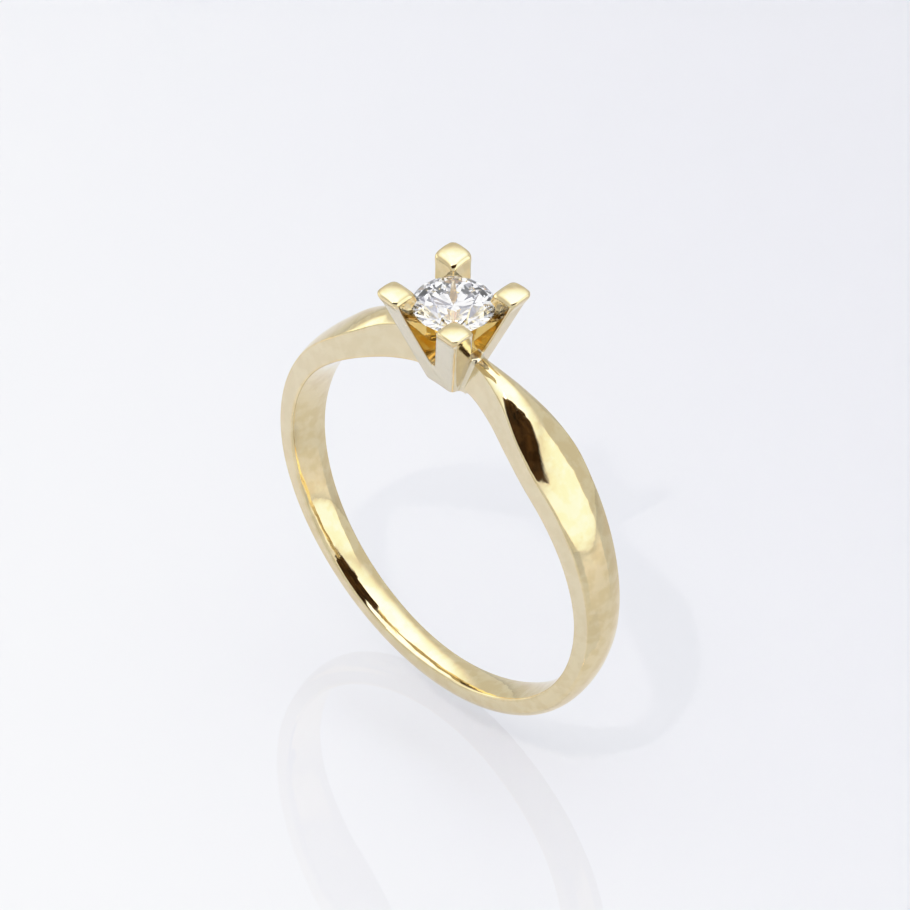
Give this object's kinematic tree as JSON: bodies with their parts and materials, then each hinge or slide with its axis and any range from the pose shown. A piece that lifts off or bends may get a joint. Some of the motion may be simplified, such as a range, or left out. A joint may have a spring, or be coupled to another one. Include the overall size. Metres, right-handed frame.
{
  "type": "engagement ring",
  "caption": "Yellow gold solitaire ring with a leaf-shaped shank, a square claw head and a round brilliant-cut stone.",
  "frame": {"origin": "centre of the finger hole", "axes": "+Y along the finger axis, +Z from the finger hole's centre up through the head and stone, +X across the ring"},
  "size_m": [0.0198, 0.0048, 0.0237],
  "materials": {
    "gold": "14 carat yellow gold, polished outside and inside, satin on the flat side faces",
    "gold_solder": "polished gold solder, slightly paler than the gold",
    "diamond": "colourless diamond with polished facets"
  },
  "bodies": {
    "root": {"shank": "gold", "claw_head": "gold", "centre_stone": "diamond", "solder_seam_left": "gold_solder", "solder_seam_right": "gold_solder"}
  },
  "joints": []
}
